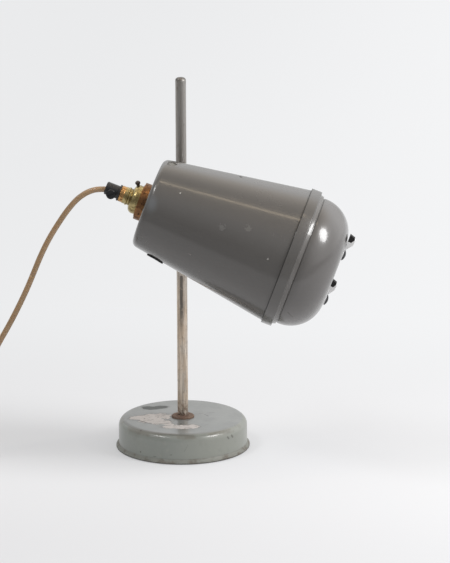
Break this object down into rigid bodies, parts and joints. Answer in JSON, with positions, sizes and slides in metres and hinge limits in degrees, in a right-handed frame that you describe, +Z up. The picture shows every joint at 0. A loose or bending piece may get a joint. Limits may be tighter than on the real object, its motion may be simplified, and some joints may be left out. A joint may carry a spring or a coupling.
{
  "type": "desk lamp",
  "caption": "Desk lamp with a round weighted base, an upright rod and a tapered cylindrical head that slides, turns and tilts on a clamp, with a corded plug.",
  "frame": {"origin": "middle of the base's underside, on the rod's axis", "axes": "+Z up along the rod; +X the way the lamp head points; the head hangs in front of the rod, at -Y"},
  "size_m": [0.6197, 0.2317, 0.428],
  "materials": {
    "base_paint": "worn glossy grey-green paint",
    "cast_iron": "rough black",
    "felt": "felt",
    "rod_steel": "dull, streaked",
    "rusty_steel": "dull, rusty",
    "steel": "satin",
    "head_paint": "aged glossy warm grey paint",
    "bright_metal": "satin",
    "black_plastic": "black",
    "black_steel": "blackened, glossy",
    "copper_brown": "dull copper brown",
    "brass": "aged",
    "red_brass": "aged, reddish",
    "insulator": "ceramic white",
    "button": "dark brown",
    "glass": "clear",
    "tungsten": "dark",
    "cord": "gold-tan sheath",
    "core": "brown",
    "tie": "black band",
    "plug": "ivory",
    "friction": "fibre"
  },
  "bodies": {
    "stand": {"base_cover": "base_paint", "base_weight": "cast_iron", "base_felt": "felt", "rod": "rod_steel", "foot_flange": "rusty_steel", "rod_washer": "steel", "rod_nut": "steel", "cord_drop": "cord", "cord_coil": "cord", "cord_tail": "cord", "coil_tie": "tie", "plug_cover": "plug", "plug_base": "plug", "plug_pins": "brass", "plug_screw": "steel", "plug_fuse": "insulator"},
    "collar": {"stop_collar": "steel"},
    "collar_screw": {"collar_screw": "brass"},
    "clamp": {"clamp_block": "black_steel", "clamp_pad": "brass", "friction_washer": "friction", "pivot_bolt": "steel", "spring_washer": "steel"},
    "clamp_screw": {"clamp_screw": "brass"},
    "head": {"pivot_saddle": "black_steel", "inner_saddle": "steel", "lamp_housing": "head_paint", "vent_grommet": "black_plastic", "shade_ring": "copper_brown", "inner_ring": "copper_brown", "holder_body": "brass", "holder_cap": "brass", "holder_insert": "insulator", "contact_plungers": "brass", "cord_cores": "core", "grip_collar": "red_brass", "cord_grip": "black_plastic", "cord_grip_screw": "black_steel", "bulb_cap": "brass", "bulb_glass": "glass", "bulb_stem": "glass", "bulb_filament": "tungsten"},
    "button": {"switch_button": "button"},
    "cap": {"front_cap": "head_paint", "window_glass": "glass", "window_ring": "steel", "clip_screws": "black_steel", "clip_nuts": "steel"},
    "upper_clip": {"clip_arm_upper": "bright_metal", "clip_pad_upper": "black_plastic"},
    "lower_clip": {"clip_arm_lower": "bright_metal", "clip_pad_lower": "black_plastic"}
  },
  "joints": [
    {"name": "height_slide", "type": "slide", "parent": "stand", "child": "collar", "axis": [0, 0, 1], "range_m": [-0.03, 0.11], "deforming": ["cord_drop"]},
    {"name": "clamp_swivel", "type": "hinge", "parent": "collar", "child": "clamp", "pos_m": [0, 0, 0.2924], "axis": [0, 0, 1], "range_deg": [-120, 120], "deforming": ["cord_drop"]},
    {"name": "head_tilt", "type": "hinge", "parent": "clamp", "child": "head", "pos_m": [0, -0.0765, 0.2924], "axis": [0, 1, 0], "range_deg": [-60, 45], "deforming": ["cord_drop"]},
    {"name": "cap_pull", "type": "slide", "parent": "head", "child": "cap", "axis": [0.9373, 0, -0.3486], "range_m": [0, 0.035]},
    {"name": "upper_clip_swivel", "type": "hinge", "parent": "cap", "child": "upper_clip", "pos_m": [0.18664, -0.0765, 0.24774], "axis": [0.9373, 0, -0.3486], "continuous": true},
    {"name": "lower_clip_swivel", "type": "hinge", "parent": "cap", "child": "lower_clip", "pos_m": [0.16768, -0.0765, 0.19675], "axis": [0.9373, 0, -0.3486], "continuous": true},
    {"name": "clamp_screw_turn", "type": "hinge", "parent": "clamp", "child": "clamp_screw", "pos_m": [0, 0.016, 0.2924], "axis": [0, 1, 0], "continuous": true},
    {"name": "collar_screw_turn", "type": "hinge", "parent": "collar", "child": "collar_screw", "pos_m": [0, 0.016, 0.2714], "axis": [0, 1, 0], "continuous": true},
    {"name": "switch_press", "type": "slide", "parent": "head", "child": "button", "axis": [0.184, 0, -0.9829], "range_m": [0, 0.0012], "stiffness_N_per_m": 400}
  ]
}
